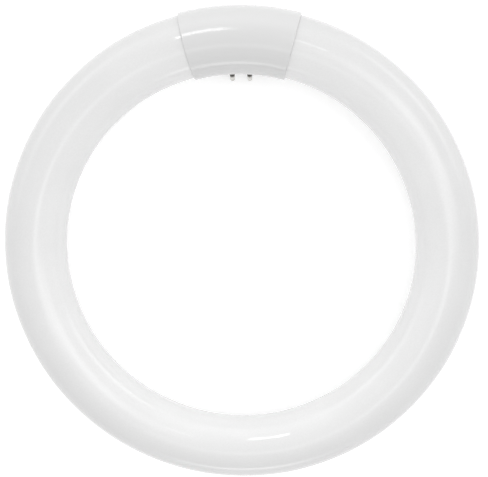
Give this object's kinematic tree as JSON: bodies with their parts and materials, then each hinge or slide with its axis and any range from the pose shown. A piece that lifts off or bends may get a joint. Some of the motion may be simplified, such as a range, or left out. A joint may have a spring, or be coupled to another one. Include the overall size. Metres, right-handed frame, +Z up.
{
  "type": "circular fluorescent tube",
  "caption": "Ring-shaped fluorescent lamp: a white coated glass tube bent into a circle, with a moulded cap over its joined ends and contact pins that point inward and back.",
  "frame": {"origin": "middle of the ring, on the surface that it lies on, at the height of the lowest pin tips", "axes": "+Z up along the axis of the ring, +Y from the middle of the ring to the middle of the cap, +X to the right seen from above"},
  "size_m": [0.216, 0.2172, 0.0334],
  "materials": {
    "coated_glass": "smooth clear glass, coated white inside, opaque",
    "cap_plastic": "moulded, semi-gloss white",
    "pin_metal": "nickel-plated, bright",
    "lead_metal": "drawn wire",
    "sleeve_rubber": "extruded, matt"
  },
  "bodies": {
    "root": {"cap_front_shell": "cap_plastic", "cap_rear_shell": "cap_plastic", "contact_pin_left_lower": "pin_metal", "contact_pin_left_upper": "pin_metal", "contact_pin_right_lower": "pin_metal", "contact_pin_right_upper": "pin_metal", "glass_tube": "coated_glass", "lead_sleeve_left_lower": "sleeve_rubber", "lead_sleeve_left_upper": "sleeve_rubber", "lead_sleeve_right_lower": "sleeve_rubber", "lead_sleeve_right_upper": "sleeve_rubber", "lead_wire_left_lower": "lead_metal", "lead_wire_left_upper": "lead_metal", "lead_wire_right_lower": "lead_metal", "lead_wire_right_upper": "lead_metal"}
  },
  "joints": []
}
